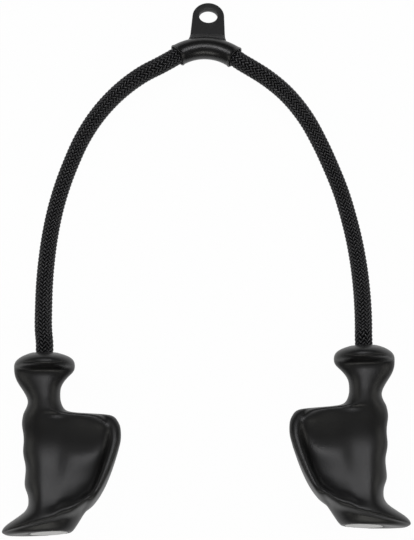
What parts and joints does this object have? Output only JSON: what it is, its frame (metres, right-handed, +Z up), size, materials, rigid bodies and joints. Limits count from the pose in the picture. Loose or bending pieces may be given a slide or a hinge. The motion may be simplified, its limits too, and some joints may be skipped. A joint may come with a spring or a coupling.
{
  "type": "triceps rope",
  "caption": "Thick braided rope through a curved steel saddle with an eyed lug, ending in two moulded rubber grips with finger grooves and palm wings.",
  "frame": {"origin": "middle of the surface that the rope lies on, under the middle of its bracket and grips", "axes": "+X across the rope from the left grip to the right one, +Y along it from the grips to the lug, +Z up from the surface"},
  "size_m": [0.3773, 0.4973, 0.0692],
  "materials": {
    "powder_coated_steel": "satin black powder coat",
    "braided_rope": "tight braid of black yarn with pale flecks",
    "grip_rubber": "matt moulded",
    "bare_steel": "zinc plated, out of sight",
    "plug_plastic": "matt, out of sight",
    "disc_plastic": "bare pale grey disc"
  },
  "bodies": {
    "bracket": {"lug_plate": "powder_coated_steel", "saddle_tube": "powder_coated_steel", "lug_weld": "powder_coated_steel", "rope_in_saddle": "braided_rope"},
    "left_upper": {"left_rope_upper": "braided_rope"},
    "left_lower": {"left_rope_lower": "braided_rope"},
    "left_end": {"left_rope_tail": "braided_rope", "left_sleeve": "bare_steel", "left_washer": "bare_steel"},
    "left_handle": {"left_grip": "grip_rubber", "left_end_plug": "plug_plastic", "left_badge": "disc_plastic"},
    "right_upper": {"right_rope_upper": "braided_rope"},
    "right_lower": {"right_rope_lower": "braided_rope"},
    "right_end": {"right_rope_tail": "braided_rope", "right_sleeve": "bare_steel", "right_washer": "bare_steel"},
    "right_handle": {"right_grip": "grip_rubber", "right_end_plug": "plug_plastic", "right_badge": "disc_plastic"}
  },
  "joints": [
    {"name": "left_swing", "type": "hinge", "parent": "bracket", "child": "left_upper", "pos_m": [-0.02662, 0.19824, 0.02743], "axis": [0, 0, -1], "range_deg": [-12, 40], "stiffness_Nm_per_rad": 0.6, "deforming": ["left_rope_upper"]},
    {"name": "left_lift", "type": "hinge", "parent": "left_upper", "child": "left_lower", "pos_m": [-0.11721, 0.11935, 0.01309], "axis": [-0.8774, 0.4798, 0], "range_deg": [-35, 35], "stiffness_Nm_per_rad": 2, "deforming": ["left_rope_upper", "left_rope_lower"]},
    {"name": "left_bend", "type": "hinge", "parent": "left_lower", "child": "left_end", "pos_m": [-0.1499, -0.077, 0.02752], "axis": [0, 0, 1], "range_deg": [-35, 35], "stiffness_Nm_per_rad": 0.8, "deforming": ["left_rope_lower"]},
    {"name": "left_twist", "type": "hinge", "parent": "left_end", "child": "left_handle", "pos_m": [-0.1499, -0.077, 0.02752], "axis": [0, -0.9962, 0.0872], "range_deg": [-90, 90]},
    {"name": "right_swing", "type": "hinge", "parent": "bracket", "child": "right_upper", "pos_m": [0.02607, 0.1964, 0.02743], "axis": [0, 0, 1], "range_deg": [-12, 40], "stiffness_Nm_per_rad": 0.6, "deforming": ["right_rope_upper"]},
    {"name": "right_lift", "type": "hinge", "parent": "right_upper", "child": "right_lower", "pos_m": [0.10698, 0.1157, 0.01251], "axis": [-0.8889, -0.4581, 0], "range_deg": [-35, 35], "stiffness_Nm_per_rad": 2, "deforming": ["right_rope_upper", "right_rope_lower"]},
    {"name": "right_bend", "type": "hinge", "parent": "right_lower", "child": "right_end", "pos_m": [0.1458, -0.0702, 0.02752], "axis": [0, 0, -1], "range_deg": [-35, 35], "stiffness_Nm_per_rad": 0.8, "deforming": ["right_rope_lower"]},
    {"name": "right_twist", "type": "hinge", "parent": "right_end", "child": "right_handle", "pos_m": [0.1458, -0.0702, 0.02752], "axis": [-0.0243, 0.9959, -0.0872], "range_deg": [-90, 90]}
  ]
}
